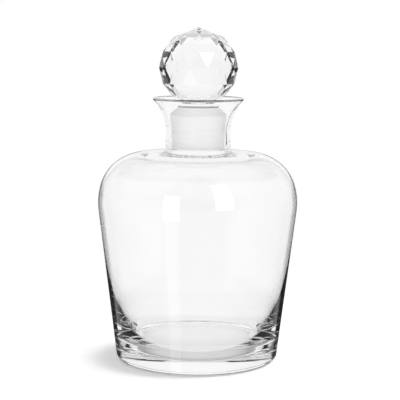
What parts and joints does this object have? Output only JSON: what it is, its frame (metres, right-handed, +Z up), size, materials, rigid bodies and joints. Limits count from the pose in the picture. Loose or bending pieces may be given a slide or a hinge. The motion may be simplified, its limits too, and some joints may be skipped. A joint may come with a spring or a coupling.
{
  "type": "carafe",
  "caption": "Clear glass carafe with a tapered body, heavy base, flared pouring lip and a ground-in stopper that carries a cut glass ball and lifts out.",
  "frame": {"origin": "centre of the flat underside, on the carafe's axis", "axes": "+Z up along the carafe's axis; -Y towards the camera, where a corner of the cut ball points"},
  "size_m": [0.1266, 0.1266, 0.2113],
  "materials": {
    "blown_glass": "clear, fire-polished",
    "ground_glass": "ground matt on the cone, clear on the collar",
    "cut_glass": "cut in flat facets and polished"
  },
  "bodies": {
    "vessel": {"vessel": "blown_glass"},
    "stopper": {"stopper_plug": "ground_glass", "stopper_ball": "cut_glass"}
  },
  "joints": [
    {"name": "stopper_lift", "type": "slide", "parent": "vessel", "child": "stopper", "axis": [0, 0, 1], "range_m": [0, 0.045]}
  ]
}
